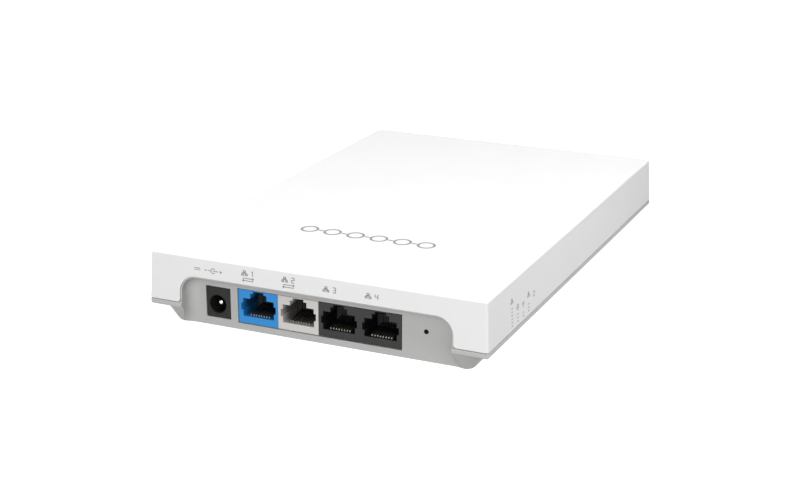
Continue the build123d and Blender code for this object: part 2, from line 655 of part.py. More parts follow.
def packages(places, size, height, edge, side):
    """Alike flat packages, one at each place, on the board's top (side 1) or underside (side -1)."""
    level = BOARD_TOP if side > 0 else BOARD_BOTTOM
    with BuildPart() as group:
        with BuildSketch(Plane.XY.offset(level)):
            with Locations(*places):
                Rectangle(*size)
        extrude(amount=side * height)
        if edge:
            levels = group.faces().filter_by(Axis.Z).sort_by(Axis.Z)
            outer = levels[-len(places):] if side > 0 else levels[: len(places)]
            chamfer(outer.edges(), edge)
    return group.part


def cylinders(places, radius, height, edge):
    """Alike round components on the board's top."""
    with BuildPart() as group:
        with BuildSketch(Plane.XY.offset(BOARD_TOP)):
            with Locations(*places):
                Circle(radius)
        extrude(amount=height)
        fillet(group.faces().filter_by(Axis.Z).sort_by(Axis.Z)[-len(places):].edges(), edge)
    return group.part


def shield_can(x, y):
    """A drawn metal lid over a radio, open towards the board, with a grid of vent holes."""
    with BuildPart() as can:
        with BuildSketch(Plane.XY.offset(BOARD_TOP)):
            with Locations((x, y)):
                RectangleRounded(*SHIELD_SIZE, SHIELD_CORNER_RADIUS)
        extrude(amount=SHIELD_HEIGHT)
        fillet(can.faces().sort_by(Axis.Z)[-1].edges(), SHIELD_EDGE_RADIUS)
        offset(amount=-SHIELD_SHEET, openings=can.faces().sort_by(Axis.Z)[0])
        with BuildSketch(Plane.XY.offset(BOARD_TOP + SHIELD_HEIGHT + MARGIN)) as vents:
            with Locations((x, y)):
                with GridLocations(VENT_PITCH, VENT_PITCH, *VENT_GRID):
                    Circle(VENT_RADIUS)
        extrude(vents.sketch, amount=-2 * MARGIN, mode=Mode.SUBTRACT)
    return can.part


def heat_spreader():
    """An extruded aluminium block with fins along Y over the main processor."""
    base_z = BOARD_TOP + CHIP_HEIGHT + PAD_THICKNESS
    with BuildPart() as spreader:
        with BuildSketch(Plane.XY.offset(base_z)):
            with Locations(PROCESSOR):
                RectangleRounded(*SPREADER_SIZE, SPREADER_CORNER_RADIUS)
        extrude(amount=SPREADER_BASE)
        with BuildSketch(Plane.XY.offset(base_z + SPREADER_BASE)) as fins:
            with Locations(PROCESSOR):
                with GridLocations(FIN_PITCH, 0, FINS, 1):
                    Rectangle(*FIN_SIZE)
        extrude(fins.sketch, amount=CEILING - FIN_CLEARANCE - base_z - SPREADER_BASE)
    return spreader.part


def thermal_pad():
    with BuildPart() as pad:
        with BuildSketch(Plane.XY.offset(BOARD_TOP + CHIP_HEIGHT)):
            with Locations(PROCESSOR):
                Rectangle(*PAD_SIZE)
        extrude(amount=PAD_THICKNESS)
    return pad.part


def antenna(x, y, turn):
    """A stamped antenna that stands on the board: a strip on two legs, the far end free."""
    along = Vector(1, 0, 0).rotate(Axis.Z, turn)
    across = Vector(0, -1, 0).rotate(Axis.Z, turn)
    plane = Plane(origin=(x, y, BOARD_TOP), x_dir=along, z_dir=across)
    with BuildPart() as strip:
        with BuildSketch(plane):
            with Locations((0, ANTENNA_HEIGHT - ANTENNA_STRIP / 2)):
                Rectangle(ANTENNA_LENGTH, ANTENNA_STRIP)
            for leg in ANTENNA_LEGS:
                with Locations((leg - ANTENNA_LENGTH / 2, ANTENNA_HEIGHT / 2)):
                    Rectangle(ANTENNA_LEG, ANTENNA_HEIGHT)
        extrude(amount=ANTENNA_SHEET)
    return strip.part


def light_guide():
    """A clear bar beside the status lights, with one finger for each that ends at the cover's wall."""
    reach = STATUS_PITCH * (STATUS_LIGHTS - 1) / 2 + GUIDE_END
    with BuildPart() as guide:
        block(GUIDE_X, (STATUS_Y - reach, STATUS_Y + reach), (BOARD_TOP, BOARD_TOP + GUIDE_HEIGHT))
        for _, y in STATUS_PLACES:
            block(
                (GUIDE_X[1] - TOUCH, STATUS_REACH),
                (y - FINGER_HALF_WIDTH, y + FINGER_HALF_WIDTH),
                (BOARD_TOP + FINGER_Z[0], BOARD_TOP + FINGER_Z[1]),
            )
    return guide.part


# ---------------------------------------------------------------- fasteners and label
def screws(places, seat, length, shank, head, head_height, down):
    """Pan-head screws whose heads sit on a plane at height seat and whose shanks go down, or up."""
    way = -1 if down else 1
    with BuildPart() as group:
        with BuildSketch(Plane.XY.offset(seat)) as shanks:
            with Locations(*places):
                Circle(shank)
        extrude(shanks.sketch, amount=way * length)
        with BuildSketch(Plane.XY.offset(seat)) as heads:
            with Locations(*places):
                Circle(head)
        extrude(heads.sketch, amount=-way * head_height)
        ends = group.faces().filter_by(Axis.Z).sort_by(Axis.Z)
        tops = ends[-len(places):] if down else ends[: len(places)]
        fillet(tops.edges(), head_height * HEAD_ROUNDING)
        with BuildSketch(Plane.XY.offset(seat - way * head_height)) as recess:
            with Locations(*places):
                Rectangle(head, head * DRIVE_WIDTH)
                Rectangle(head * DRIVE_WIDTH, head)
        extrude(recess.sketch, amount=way * head_height * DRIVE_DEPTH, mode=Mode.SUBTRACT)
    return group.part


def rating_label():
    with BuildPart() as label:
        with BuildSketch(Plane.XY.offset(LABEL_RECESS - LABEL_THICKNESS)):
            with Locations((0, LABEL_Y)):
                RectangleRounded(*[side - 2 * LABEL_GAP for side in LABEL_SIZE], LABEL_CORNER_RADIUS)
        extrude(amount=LABEL_THICKNESS)
    return label.part


def main():
    save(top_cover(), "top_cover")
    save(base_shell(), "base_shell")
    save(main_board(), "main_board")

    blue, light, black = front_mouth(0, 1), front_mouth(1, 1), front_mouth(2, 2)
    for name, mouth, ports, depth in (
        ("blue_jack", blue, 1, JACK_DEPTH),
        ("light_jack", light, 1, JACK_DEPTH),
        ("black_jack", black, 2, JACK_DEPTH),
        ("rear_jack", rear_mouth(), 2, REAR_JACK_DEPTH),
    ):
        save(jack_housing(mouth, ports, depth), f"{name}_housing")
        save(jack_insert(mouth, ports), f"{name}_carrier")
        for side, x in zip(("left", "right") if ports == 2 else ("",), port_centres(ports)):
            save(contact_wires(mouth, x), f"{name}_{side}_contacts".replace("__", "_"))

    save(dc_housing(), "dc_inlet_housing")
    save(dc_pin(), "dc_inlet_pin")
    save(dc_leaf(), "dc_inlet_spring")
    save(switch_body(), "reset_switch_body")
    save(switch_frame(), "reset_switch_frame")
    save(reset_plunger(), "reset_plunger")

    for name, places, size, height, edge, side in PACKAGES:
        save(packages(places, size, height, edge, side), name)
    save(cylinders(CAPACITORS, CAN_RADIUS, CAN_HEIGHT, CAN_EDGE_RADIUS), "bulk_capacitors")
    save(thermal_pad(), "thermal_pad")
    save(heat_spreader(), "heat_spreader")
    for i, (x, y) in enumerate(RADIOS):
        save(shield_can(x, y), f"radio_shield_{i + 1}")
    for i, (x, y, turn) in enumerate(ANTENNAS):
        save(antenna(x, y, turn), f"antenna_{i + 1}")
    save(light_guide(), "light_guide")

    save(screws(BOARD_SCREWS, BOARD_TOP, 7.0, 1.1, 2.2, 1.5, True), "board_screws")
    save(screws(CASE_SCREWS, HEAD_SEAT, 9.5, 1.42, 2.75, 1.9, False), "case_screws")
    save(rating_label(), "rating_label")


if __name__ == "__main__":
    main()
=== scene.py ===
"""Looks for the wall-plate network gateway.

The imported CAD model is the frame. Its nodes keep their shape and get procedural materials here. This
script adds the printing on the cover and on the label, the floor, the lights and the camera. The axes are
the frame's: X along the port panel, Y from the panel to the back, Z up. Lengths are in metres, but those
whose name ends in _MM and all sizes of the printed marks are in millimetres.
"""
import json
import math

import bpy
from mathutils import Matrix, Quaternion, Vector


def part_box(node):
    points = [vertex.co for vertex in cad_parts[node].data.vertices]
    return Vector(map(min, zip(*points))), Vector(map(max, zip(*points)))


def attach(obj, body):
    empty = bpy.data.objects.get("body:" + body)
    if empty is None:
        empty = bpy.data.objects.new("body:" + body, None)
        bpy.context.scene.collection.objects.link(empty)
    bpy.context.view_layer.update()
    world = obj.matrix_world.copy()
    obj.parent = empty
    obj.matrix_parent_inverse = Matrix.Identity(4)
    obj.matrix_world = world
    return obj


MM = 0.001

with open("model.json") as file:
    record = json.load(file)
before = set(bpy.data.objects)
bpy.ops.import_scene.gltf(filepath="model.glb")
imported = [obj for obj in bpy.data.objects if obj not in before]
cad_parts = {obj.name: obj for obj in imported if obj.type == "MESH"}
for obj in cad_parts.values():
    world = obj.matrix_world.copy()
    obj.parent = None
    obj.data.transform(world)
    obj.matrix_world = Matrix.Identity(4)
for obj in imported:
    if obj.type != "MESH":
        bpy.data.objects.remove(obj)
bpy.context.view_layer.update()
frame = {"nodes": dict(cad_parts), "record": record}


# ---------------------------------------------------------------- camera
CAMERA_PLACE = (0.22689, -0.53036, 0.20014)
CAMERA_AZIMUTH = 24.054    # degrees to the right of the port panel's middle line
CAMERA_ELEVATION = 18.558  # degrees above the horizon
CAMERA_ROLL = 0.164        # degrees
LENS = 71.645              # this and the sensor's width are in millimetres
SENSOR = 36.0
NEAREST = 0.01             # nothing closer than this is drawn


def make_camera():
    """A long lens that looks down at the port panel from its right."""
    data = bpy.data.cameras.new("camera")
    data.sensor_width = SENSOR
    data.lens = LENS
    data.clip_start = NEAREST
    camera = bpy.data.objects.new("camera", data)
    azimuth, elevation = math.radians(CAMERA_AZIMUTH), math.radians(CAMERA_ELEVATION)
    back = Vector((
        math.sin(azimuth) * math.cos(elevation),
        -math.cos(azimuth) * math.cos(elevation),
        math.sin(elevation),
    ))
    level = (-back).to_track_quat("-Z", "Y")
    camera.location = CAMERA_PLACE
    camera.rotation_mode = "QUATERNION"
    camera.rotation_quaternion = level @ Quaternion((0, 0, 1), math.radians(CAMERA_ROLL))
    bpy.context.scene.collection.objects.link(camera)
    bpy.context.scene.camera = camera


# ---------------------------------------------------------------- floor and light
WORLD_BELOW = 0.233    # what the undersides see
WORLD_HORIZON = 0.72   # a pale band behind the object in low views
WORLD_ABOVE = 0.0
WORLD_STOPS = (
    # height, from 0 straight down to 1 straight up, and brightness
    (0.485, WORLD_BELOW),
    (0.5, WORLD_HORIZON),
    (0.56, WORLD_HORIZON),
    (0.62, WORLD_ABOVE),
)
FLOOR_HALF = 6.0
FLOOR_COLOR = 0.3
FLOOR_ROUGHNESS = 0.9
FLOOR_GLOW = 1.0       # the floor shines white by itself, so no shadow falls on it
LIGHTS = (
    # name, place, size, aims at, watts
    ("overhead", (0.0, -0.1, 0.7), 0.7, (0.0, -0.05, 0.02), 5.8),
    ("key", (0.6, -0.9, 0.5), 0.6, (0.0, -0.02, 0.02), 2.44),
    ("side_front", (0.4, -0.3, 0.2), 0.2, (0.06, -0.05, 0.018), 0.16),
    ("side_middle", (0.3, -0.01, 0.14), 0.15, (0.06, -0.015, 0.018), 0.245),
    ("front", (0.1, -1.2, 0.3), 0.6, (0.0, -0.09, 0.02), 5.66),
    ("back", (0.0, 1.2, 0.1), 0.6, (0.0, 0.09, 0.015), 5.6),
    ("left", (-1.0, 0.1, 0.1), 0.5, (-0.06, 0.0, 0.018), 3.4),
)
NO_GLARE = ("back", "left")    # these fill the far walls only, and aren't mirrored in the cover


def make_light(name, place, size, target, watts):
    """A square lamp that the camera can't see."""
    data = bpy.data.lights.new(name, "AREA")
    data.size = size
    data.energy = watts
    light = bpy.data.objects.new(name, data)
    light.location = place
    light.rotation_mode = "QUATERNION"
    light.rotation_quaternion = (Vector(target) - Vector(place)).to_track_quat("-Z", "Y")
    light.visible_camera = False
    light.visible_glossy = name not in NO_GLARE
    bpy.context.scene.collection.objects.link(light)


def make_world():
    """A plain studio: dark above, pale round the horizon, and dim below it."""
    world = bpy.data.worlds.new("world")
    bpy.context.scene.world = world
    world.use_nodes = True
    tree = world.node_tree
    direction = tree.nodes.new("ShaderNodeTexCoord")
    split = tree.nodes.new("ShaderNodeSeparateXYZ")
    height = tree.nodes.new("ShaderNodeMapRange")
    height.inputs["From Min"].default_value = -1
    ramp = tree.nodes.new("ShaderNodeValToRGB")
    stops = ramp.color_ramp.elements
    while len(stops) < len(WORLD_STOPS):
        stops.new(1.0)
    for stop, (place, value) in zip(stops, WORLD_STOPS):
        stop.position = place
        stop.color = (value, value, value, 1)
    tree.links.new(direction.outputs["Generated"], split.inputs[0])
    tree.links.new(split.outputs["Z"], height.inputs["Value"])
    tree.links.new(height.outputs["Result"], ramp.inputs["Fac"])
    tree.links.new(ramp.outputs["Color"], tree.nodes["Background"].inputs["Color"])


def make_floor():
    """A white floor at the height of the object's underside."""
    corners = [(x * FLOOR_HALF, y * FLOOR_HALF, 0) for x, y in ((-1, -1), (1, -1), (1, 1), (-1, 1))]
    mesh = bpy.data.meshes.new("floor")
    mesh.from_pydata(corners, [], [(0, 1, 2, 3)])
    floor = bpy.data.objects.new("floor", mesh)
    bpy.context.scene.collection.objects.link(floor)
    material = bpy.data.materials.new("floor")
    material.use_nodes = True
    shader = material.node_tree.nodes["Principled BSDF"]
    shader.inputs["Base Color"].default_value = (FLOOR_COLOR, FLOOR_COLOR, FLOOR_COLOR, 1)
    shader.inputs["Roughness"].default_value = FLOOR_ROUGHNESS
    shader.inputs["Specular IOR Level"].default_value = 0.0
    shader.inputs["Emission Color"].default_value = (1, 1, 1, 1)
    shader.inputs["Emission Strength"].default_value = FLOOR_GLOW
    mesh.materials.append(material)
    floor.visible_diffuse = False


def make_studio():
    """The world, the lamps and the floor."""
    bpy.context.scene.view_settings.view_transform = "Standard"
    make_world()
    for light in LIGHTS:
        make_light(*light)
    make_floor()


# ---------------------------------------------------------------- material building blocks
# Painted shade in the panel's ports: colours darken with depth behind their mouths, where little light
# reaches.
PORT_MOUTH_MM = -86.65     # the ports' faces, along Y
PORT_SHALLOW_MM = 0.2      # this far behind the mouth the painted shade starts to darken the colour,
PORT_DEEP_MM = 5.0         # here the painted shade is darkest,
PORT_END_MM = 20.0         # and past here it is plain again, for the rear ports
# Painted shade in the reset pinhole: the base's colour is darkened on the bore's walls.
PINHOLE_MM = (38.4, -86.9, 10.4)    # where the reset pinhole leaves the panel
PINHOLE_RADIUS_MM = 0.85            # a little more than the bore's, to take in its whole wall
PINHOLE_DEPTH_MM = 3
PINHOLE_SHADE = 0.08                # how much of the colour is left in the bore under the painted shade


class Surface:
    """A material being made: its shader, the object's coordinates, and short calls for nodes."""

    def __init__(self, name, roughness, metallic=0.0):
        self.material = bpy.data.materials.new(name)
        self.material.use_nodes = True
        self.tree = self.material.node_tree
        self.shader = self.tree.nodes["Principled BSDF"]
        self.shader.inputs["Metallic"].default_value = metallic
        self.shader.inputs["Roughness"].default_value = roughness
        self.place = self.tree.nodes.new("ShaderNodeTexCoord").outputs["Object"]

    def node(self, kind, links=(), **values):
        """Adds a node.

        links join outputs to its sockets, and values set its sockets by name, with _ for a space.
        """
        node = self.tree.nodes.new("ShaderNode" + kind)
        for socket, value in values.items():
            node.inputs[socket.replace("_", " ")].default_value = value
        for output, socket in links:
            self.tree.links.new(output, node.inputs[socket])
        return node

    def stretched(self, stretch):
        """The object's coordinates scaled along X, Y and Z."""
        return self.node("Mapping", [(self.place, "Vector")], Scale=stretch).outputs[0]

    def noise(self, size_mm, detail=3.0, stretch=None):
        """Noise whose features are about size_mm across."""
        place = self.stretched(stretch) if stretch else self.place
        node = self.node("TexNoise", [(place, "Vector")], Scale=1 / (size_mm * MM), Detail=detail)
        return node.outputs["Fac"]

    def cells(self, size_mm):
        """Distance to the nearest of scattered points, about size_mm apart."""
        return self.node("TexVoronoi", [(self.place, "Vector")], Scale=1 / (size_mm * MM)).outputs["Distance"]

    def ramp(self, factor, *stops):
        """A colour or gray picked along factor, from pairs of place and colour."""
        node = self.node("ValToRGB", [(factor, "Fac")])
        elements = node.color_ramp.elements
        while len(elements) < len(stops):
            elements.new(1.0)
        for element, (place, color) in zip(elements, stops):
            element.position = place
            element.color = (*color, 1)
        return node.outputs["Color"]

    def span(self, factor, low, high, start=0.3, stop=0.7):
        """Stretches start to stop, by default noise's usual range, to low and high."""
        node = self.node("MapRange", [(factor, "Value")])
        for socket, value in (("From Min", start), ("From Max", stop), ("To Min", low), ("To Max", high)):
            node.inputs[socket].default_value = value
        return node.outputs["Result"]

    def math(self, operation, *terms):
        """One operation on outputs or plain numbers."""
        node = self.tree.nodes.new("ShaderNodeMath")
        node.operation = operation
        for socket, term in zip(node.inputs, terms):
            if isinstance(term, (int, float)):
                socket.default_value = term
            else:
                self.tree.links.new(term, socket)
        return node.outputs[0]

    def axis(self, letter):
        """The object's coordinate along X, Y or Z."""
        return self.node("SeparateXYZ", [(self.place, "Vector")]).outputs[letter]

    def mix(self, factor, first, second):
        """Blends two colours; each is an output or three numbers."""
        node = self.tree.nodes.new("ShaderNodeMix")
        node.data_type = "RGBA"
        self.tree.links.new(factor, node.inputs["Factor"])
        for socket, color in ((node.inputs[6], first), (node.inputs[7], second)):
            if isinstance(color, tuple):
                socket.default_value = (*color, 1)
            else:
                self.tree.links.new(color, socket)
        return node.outputs[2]

    def painted_port_shade(self, color, darkest):
        """Paints shade into a colour inside the panel's ports, darker from their mouths to the back."""
        depth = self.math("SUBTRACT", self.axis("Y"), PORT_MOUTH_MM * MM)
        shade = self.span(depth, 0.0, 1.0, PORT_SHALLOW_MM * MM, PORT_DEEP_MM * MM)
        inside = self.math("LESS_THAN", depth, PORT_END_MM * MM)
        # painted shade: the colour is mixed towards darkest with depth into the ports
        return self.mix(self.math("MULTIPLY", shade, inside), color, darkest)

    def paint(self, color):
        """Joins a colour to the shader."""
        self.tree.links.new(color, self.shader.inputs["Base Color"])

    def gloss(self, roughness):
        """Joins a roughness to the shader."""
        self.tree.links.new(roughness, self.shader.inputs["Roughness"])

    def bump(self, height, depth_mm):
        """Makes the surface look depth_mm deep where height goes from 1 to 0."""
        node = self.node("Bump", [(height, "Height")], Distance=depth_mm * MM, Strength=1.0)
        self.tree.links.new(node.outputs["Normal"], self.shader.inputs["Normal"])


def scaled(color, factor):
    """A colour made darker or lighter."""
    return tuple(min(1.0, channel * factor) for channel in color)


# ---------------------------------------------------------------- moulded plastics
FLOW_MM = 14.0
GLOSS_PATCH_MM = 3.0
GLOSS_SPREAD = 0.04


def flow_clouds(s, color, uneven):
    """The faint clouds that plastic leaves as it flows into the mould."""
    flow = s.noise(FLOW_MM, 2.0, (1.0, 0.6, 1.0))
    return s.ramp(flow, (0.3, scaled(color, 1 - uneven)), (0.7, scaled(color, 1 + uneven)))


def eroded_grain(s, roughness, grain_mm, grain_depth_mm):
    """The mould's spark-eroded grain, and slightly uneven gloss."""
    s.gloss(s.span(s.noise(GLOSS_PATCH_MM, 4.0), roughness - GLOSS_SPREAD, roughness + GLOSS_SPREAD))
    s.bump(s.noise(grain_mm, 2.0), grain_depth_mm)


def moulded(
    name, color, roughness, grain_mm=0.35, grain_depth_mm=0.006, uneven=0.02, specular=0.5, inside=1.0
):
    """Moulded plastic. inside is how much of the colour is left deep in the ports under the painted shade."""
    s = Surface(name, roughness)
    s.shader.inputs["Specular IOR Level"].default_value = specular
    clouds = flow_clouds(s, color, uneven)
    # painted shade deep in the ports wherever inside is below 1
    s.paint(s.painted_port_shade(clouds, scaled(color, inside)) if inside < 1 else clouds)
    eroded_grain(s, roughness, grain_mm, grain_depth_mm)
    return s.material


def tray_plastic(name, color, roughness, grain_mm, grain_depth_mm, uneven):
    """The base's moulded plastic, with painted shade in the reset pinhole's bore."""
    s = Surface(name, roughness)
    off_x = s.math("SUBTRACT", s.axis("X"), PINHOLE_MM[0] * MM)
    off_z = s.math("SUBTRACT", s.axis("Z"), PINHOLE_MM[2] * MM)
    squares = s.math("ADD", s.math("MULTIPLY", off_x, off_x), s.math("MULTIPLY", off_z, off_z))
    close = s.math("LESS_THAN", s.math("SQRT", squares), PINHOLE_RADIUS_MM * MM)
    at_panel = s.math("LESS_THAN", s.axis("Y"), (PINHOLE_MM[1] + PINHOLE_DEPTH_MM) * MM)
    painted_bore_shade = s.math("MULTIPLY", at_panel, close)
    # painted shade: the bore's walls are mixed towards a dark copy of the colour
    s.paint(s.mix(painted_bore_shade, flow_clouds(s, color, uneven), scaled(color, PINHOLE_SHADE)))
    eroded_grain(s, roughness, grain_mm, grain_depth_mm)
    return s.material


# ---------------------------------------------------------------- metals
TARNISH = 0.85             # how much of the colour is left where metal is dull
BRUSH_ALONG_X = (0.08, 1.0, 1.0)
BRUSH_ALONG_Y = (1.0, 0.08, 1.0)
BRUSH_ALONG_Z = (1.0, 1.0, 0.1)
EVEN = (1.0, 1.0, 1.0)


def drawn_metal(name, color, roughness, stretch, scratch_mm=0.3, depth_mm=0.002, inside=1.0):
    """Metal with a little tarnish and fine lines along the axis that stretch makes small."""
    s = Surface(name, roughness, 1.0)
    lines = s.noise(scratch_mm, 3.0, stretch)
    tarnish = s.ramp(s.noise(2.0, 3.0), (0.35, scaled(color, TARNISH)), (0.65, color))
    # painted shade deep in the ports wherever inside is below 1; the tarnish itself is random
    s.paint(s.painted_port_shade(tarnish, scaled(color, inside)) if inside < 1 else tarnish)
    s.gloss(s.span(lines, roughness - 0.08, roughness + 0.1))
    s.bump(lines, depth_mm)
    return s.material


# ---------------------------------------------------------------- the board and what stands on it
TRACE_PITCH_MM = 0.9
TRACE_SHARE = 0.45         # how much of the pitch is copper
TRACE_LIFT = 2.1           # how much lighter the mask is over copper
VIA_PITCH_MM = 4.0
VIA_SHARE = 0.08
PLY_MM = 0.2
PASSIVE_PITCH_MM = 3.2
PASSIVE_START_MM = 14.4
PASSIVE_BODY_MM = 0.5      # half the ceramic's length between its two end caps
TAPE_MM = 1.1
WEAVE_PER_M = 6000         # radians of the pad's weave in a metre


def solder_mask(name, color):
    """Green mask over copper: bundles of traces that run along X or Y, pads, and a laminated edge."""
    s = Surface(name, 0.28)
    across = s.math("FRACT", s.math("MULTIPLY", s.axis("X"), 1 / (TRACE_PITCH_MM * MM)))
    along = s.math("FRACT", s.math("MULTIPLY", s.axis("Y"), 1 / (TRACE_PITCH_MM * MM)))
    region = s.noise(16.0, 1.0)
    x_line = s.math("LESS_THAN", across, TRACE_SHARE)
    y_line = s.math("LESS_THAN", along, TRACE_SHARE)
    x_bundle = s.math("MULTIPLY", x_line, s.math("GREATER_THAN", region, 0.52))
    y_bundle = s.math("MULTIPLY", y_line, s.math("LESS_THAN", region, 0.42))
    copper = s.math("MAXIMUM", x_bundle, y_bundle)
    vias = s.math("LESS_THAN", s.cells(VIA_PITCH_MM), VIA_SHARE)
    traced = s.mix(copper, color, scaled(color, TRACE_LIFT))
    bare = s.mix(vias, traced, (0.72, 0.66, 0.45))
    normal = s.node("NewGeometry").outputs["Normal"]
    up = s.node("SeparateXYZ", [(normal, "Vector")])
    edge = s.math("LESS_THAN", s.math("ABSOLUTE", up.outputs["Z"]), 0.5)
    layers = s.math("FRACT", s.math("MULTIPLY", s.axis("Z"), 1 / (PLY_MM * MM)))
    plies = s.ramp(layers, (0.2, (0.34, 0.30, 0.16)), (0.8, (0.5, 0.46, 0.28)))
    s.paint(s.mix(edge, bare, plies))
    s.gloss(s.span(s.noise(1.5), 0.22, 0.36))
    s.bump(s.math("ADD", copper, s.math("MULTIPLY", s.noise(0.5), 0.3)), 0.03)
    return s.material


def chip_epoxy(name, color):
    """Moulded chip bodies: dull black with a glassy filler that shows as fine speckle."""
    s = Surface(name, 0.55)
    speckle = s.noise(0.15, 2.0)
    s.paint(s.ramp(speckle, (0.3, scaled(color, 0.7)), (0.62, color), (0.75, scaled(color, 2.0))))
    s.gloss(s.span(s.noise(2.0), 0.48, 0.64))
    s.bump(speckle, 0.01)
    return s.material


def pressed_ferrite(name, color):
    """Pressed gray powder with small pits."""
    s = Surface(name, 0.5)
    pits = s.cells(0.35)
    s.paint(s.ramp(pits, (0.0, scaled(color, 0.5)), (0.25, color), (0.9, scaled(color, 1.4))))
    s.gloss(s.span(s.noise(1.0), 0.42, 0.62))
    s.bump(pits, 0.015)
    return s.material


def wound_tape(name, color):
    """Yellow polyester tape in turns: its edges show as lines at even heights."""
    s = Surface(name, 0.3)
    turns = s.math("FRACT", s.math("MULTIPLY", s.axis("Z"), 1 / (TAPE_MM * MM)))
    s.paint(s.ramp(turns, (0.0, scaled(color, 0.55)), (0.1, color), (0.9, scaled(color, 1.1))))
    s.gloss(s.span(s.noise(4.0), 0.22, 0.42))
    s.bump(s.math("ADD", turns, s.noise(3.0)), 0.05)
    return s.material


def capped_ceramic(name, color):
    """Chip capacitors along X: a tan ceramic body between two tinned end caps."""
    s = Surface(name, 0.45)
    x = s.math("ADD", s.math("MULTIPLY", s.axis("X"), 1 / MM), PASSIVE_START_MM)
    from_centre = s.math("PINGPONG", x, PASSIVE_PITCH_MM / 2)
    cap = s.math("GREATER_THAN", from_centre, PASSIVE_BODY_MM)
    body = s.ramp(s.noise(0.4), (0.3, scaled(color, 0.8)), (0.7, scaled(color, 1.2)))
    s.paint(s.mix(cap, body, (0.62, 0.61, 0.58)))
    s.gloss(s.span(s.noise(0.5), 0.35, 0.55))
    s.bump(s.noise(0.3), 0.01)
    s.tree.links.new(cap, s.shader.inputs["Metallic"])
    return s.material


def soft_pad(name, color):
    """Silicone pad with fine filler grains and a woven backing that shows through."""
    s = Surface(name, 0.8)
    weave_x = s.math("SINE", s.math("MULTIPLY", s.axis("X"), WEAVE_PER_M))
    weave_y = s.math("SINE", s.math("MULTIPLY", s.axis("Y"), WEAVE_PER_M))
    weave = s.math("MULTIPLY", weave_x, weave_y)
    s.paint(s.ramp(s.noise(0.3), (0.3, scaled(color, 0.85)), (0.7, scaled(color, 1.12))))
    s.gloss(s.span(s.noise(1.0), 0.72, 0.88))
    s.bump(weave, 0.02)
    return s.material


ACRYLIC_IOR = 1.49


def clear_plastic(name, tint, transmission, roughness):
    """Acrylic with a faint tint and an uneven polish."""
    s = Surface(name, roughness)
    s.shader.inputs["Transmission Weight"].default_value = transmission
    s.shader.inputs["IOR"].default_value = ACRYLIC_IOR
    s.paint(s.ramp(s.noise(2.0), (0.3, scaled(tint, 0.97)), (0.7, tint)))
    s.gloss(s.span(s.noise(1.2), roughness * 0.7, roughness * 1.3))
    s.bump(s.noise(0.6), 0.003)
    return s.material


def film_label(name, color):
    """A white film label with faint fibres and a satin coat."""
    s = Surface(name, 0.45)
    fibres = s.noise(0.5, 4.0, (1.0, 0.15, 1.0))
    s.paint(s.ramp(fibres, (0.3, scaled(color, 0.96)), (0.7, color)))
    s.gloss(s.span(s.noise(1.5), 0.38, 0.52))
    s.bump(fibres, 0.004)
    return s.material


def screen_ink(name, color):
    """Printed ink: slightly uneven cover, a little glossier than the plastic below it."""
    s = Surface(name, 0.4)
    s.paint(s.ramp(s.noise(0.25), (0.3, scaled(color, 0.88)), (0.7, scaled(color, 1.12))))
    s.gloss(s.span(s.noise(0.6), 0.34, 0.5))
    s.bump(s.noise(0.2), 0.002)
    return s.material


def make_materials():
    """One finished material for each of the record's slots."""
    return {
        "cover_white": moulded("cover_white", (0.86, 0.86, 0.86), 0.55, uneven=0.006, specular=0.4),
        "base_gray": tray_plastic("base_gray", (0.52, 0.52, 0.51), 0.5, 0.4, 0.008, 0.015),
        # inside sets how much colour is left deep in the ports under painted shade
        "jack_blue": moulded("jack_blue", (0.02, 0.29, 0.74), 0.4, 0.5, 0.004, 0.02, inside=0.2),
        "jack_light": moulded("jack_light", (0.73, 0.70, 0.67), 0.42, 0.5, 0.004, 0.02, inside=0.2),
        "jack_black": moulded("jack_black", (0.009, 0.008, 0.009), 0.5, 0.5, 0.004, 0.1, inside=0.15),
        "carrier_black": moulded("carrier_black", (0.01, 0.01, 0.011), 0.55, 0.5, 0.006, 0.1),
        "inlet_black": moulded("inlet_black", (0.012, 0.011, 0.010), 0.5, 0.4, 0.006, 0.1, 0.3),
        "plunger_black": moulded("plunger_black", (0.03, 0.03, 0.03), 0.4, 0.5, 0.004, 0.1),
        # painted shade darkens the contacts deep in the ports
        "contact_gold": drawn_metal(
            "contact_gold", (0.62, 0.58, 0.50), 0.45, BRUSH_ALONG_Y, 0.2, inside=0.08
        ),
        "pin_nickel": drawn_metal("pin_nickel", (0.82, 0.81, 0.78), 0.18, BRUSH_ALONG_Y, 0.25),
        "sheet_steel": drawn_metal("sheet_steel", (0.62, 0.62, 0.60), 0.34, BRUSH_ALONG_X),
        "spreader_aluminium": drawn_metal(
            "spreader_aluminium", (0.60, 0.60, 0.62), 0.42, BRUSH_ALONG_Y, 0.4, 0.01
        ),
        "can_aluminium": drawn_metal("can_aluminium", (0.70, 0.70, 0.72), 0.3, BRUSH_ALONG_Z),
        "screw_steel": drawn_metal("screw_steel", (0.50, 0.50, 0.50), 0.36, EVEN, 0.25, 0.006),
        "board_green": solder_mask("board_green", (0.02, 0.16, 0.06)),
        "chip_black": chip_epoxy("chip_black", (0.03, 0.03, 0.03)),
        "ferrite_gray": pressed_ferrite("ferrite_gray", (0.08, 0.08, 0.085)),
        "transformer_tape": wound_tape("transformer_tape", (0.55, 0.45, 0.08)),
        "ceramic_tan": capped_ceramic("ceramic_tan", (0.35, 0.24, 0.14)),
        "pad_gray": soft_pad("pad_gray", (0.30, 0.33, 0.38)),
        "light_lens": clear_plastic("light_lens", (0.85, 0.85, 0.70), 0.3, 0.15),
        "guide_clear": clear_plastic("guide_clear", (0.90, 0.92, 0.92), 0.9, 0.08),
        "label_white": film_label("label_white", (0.80, 0.80, 0.79)),
    }


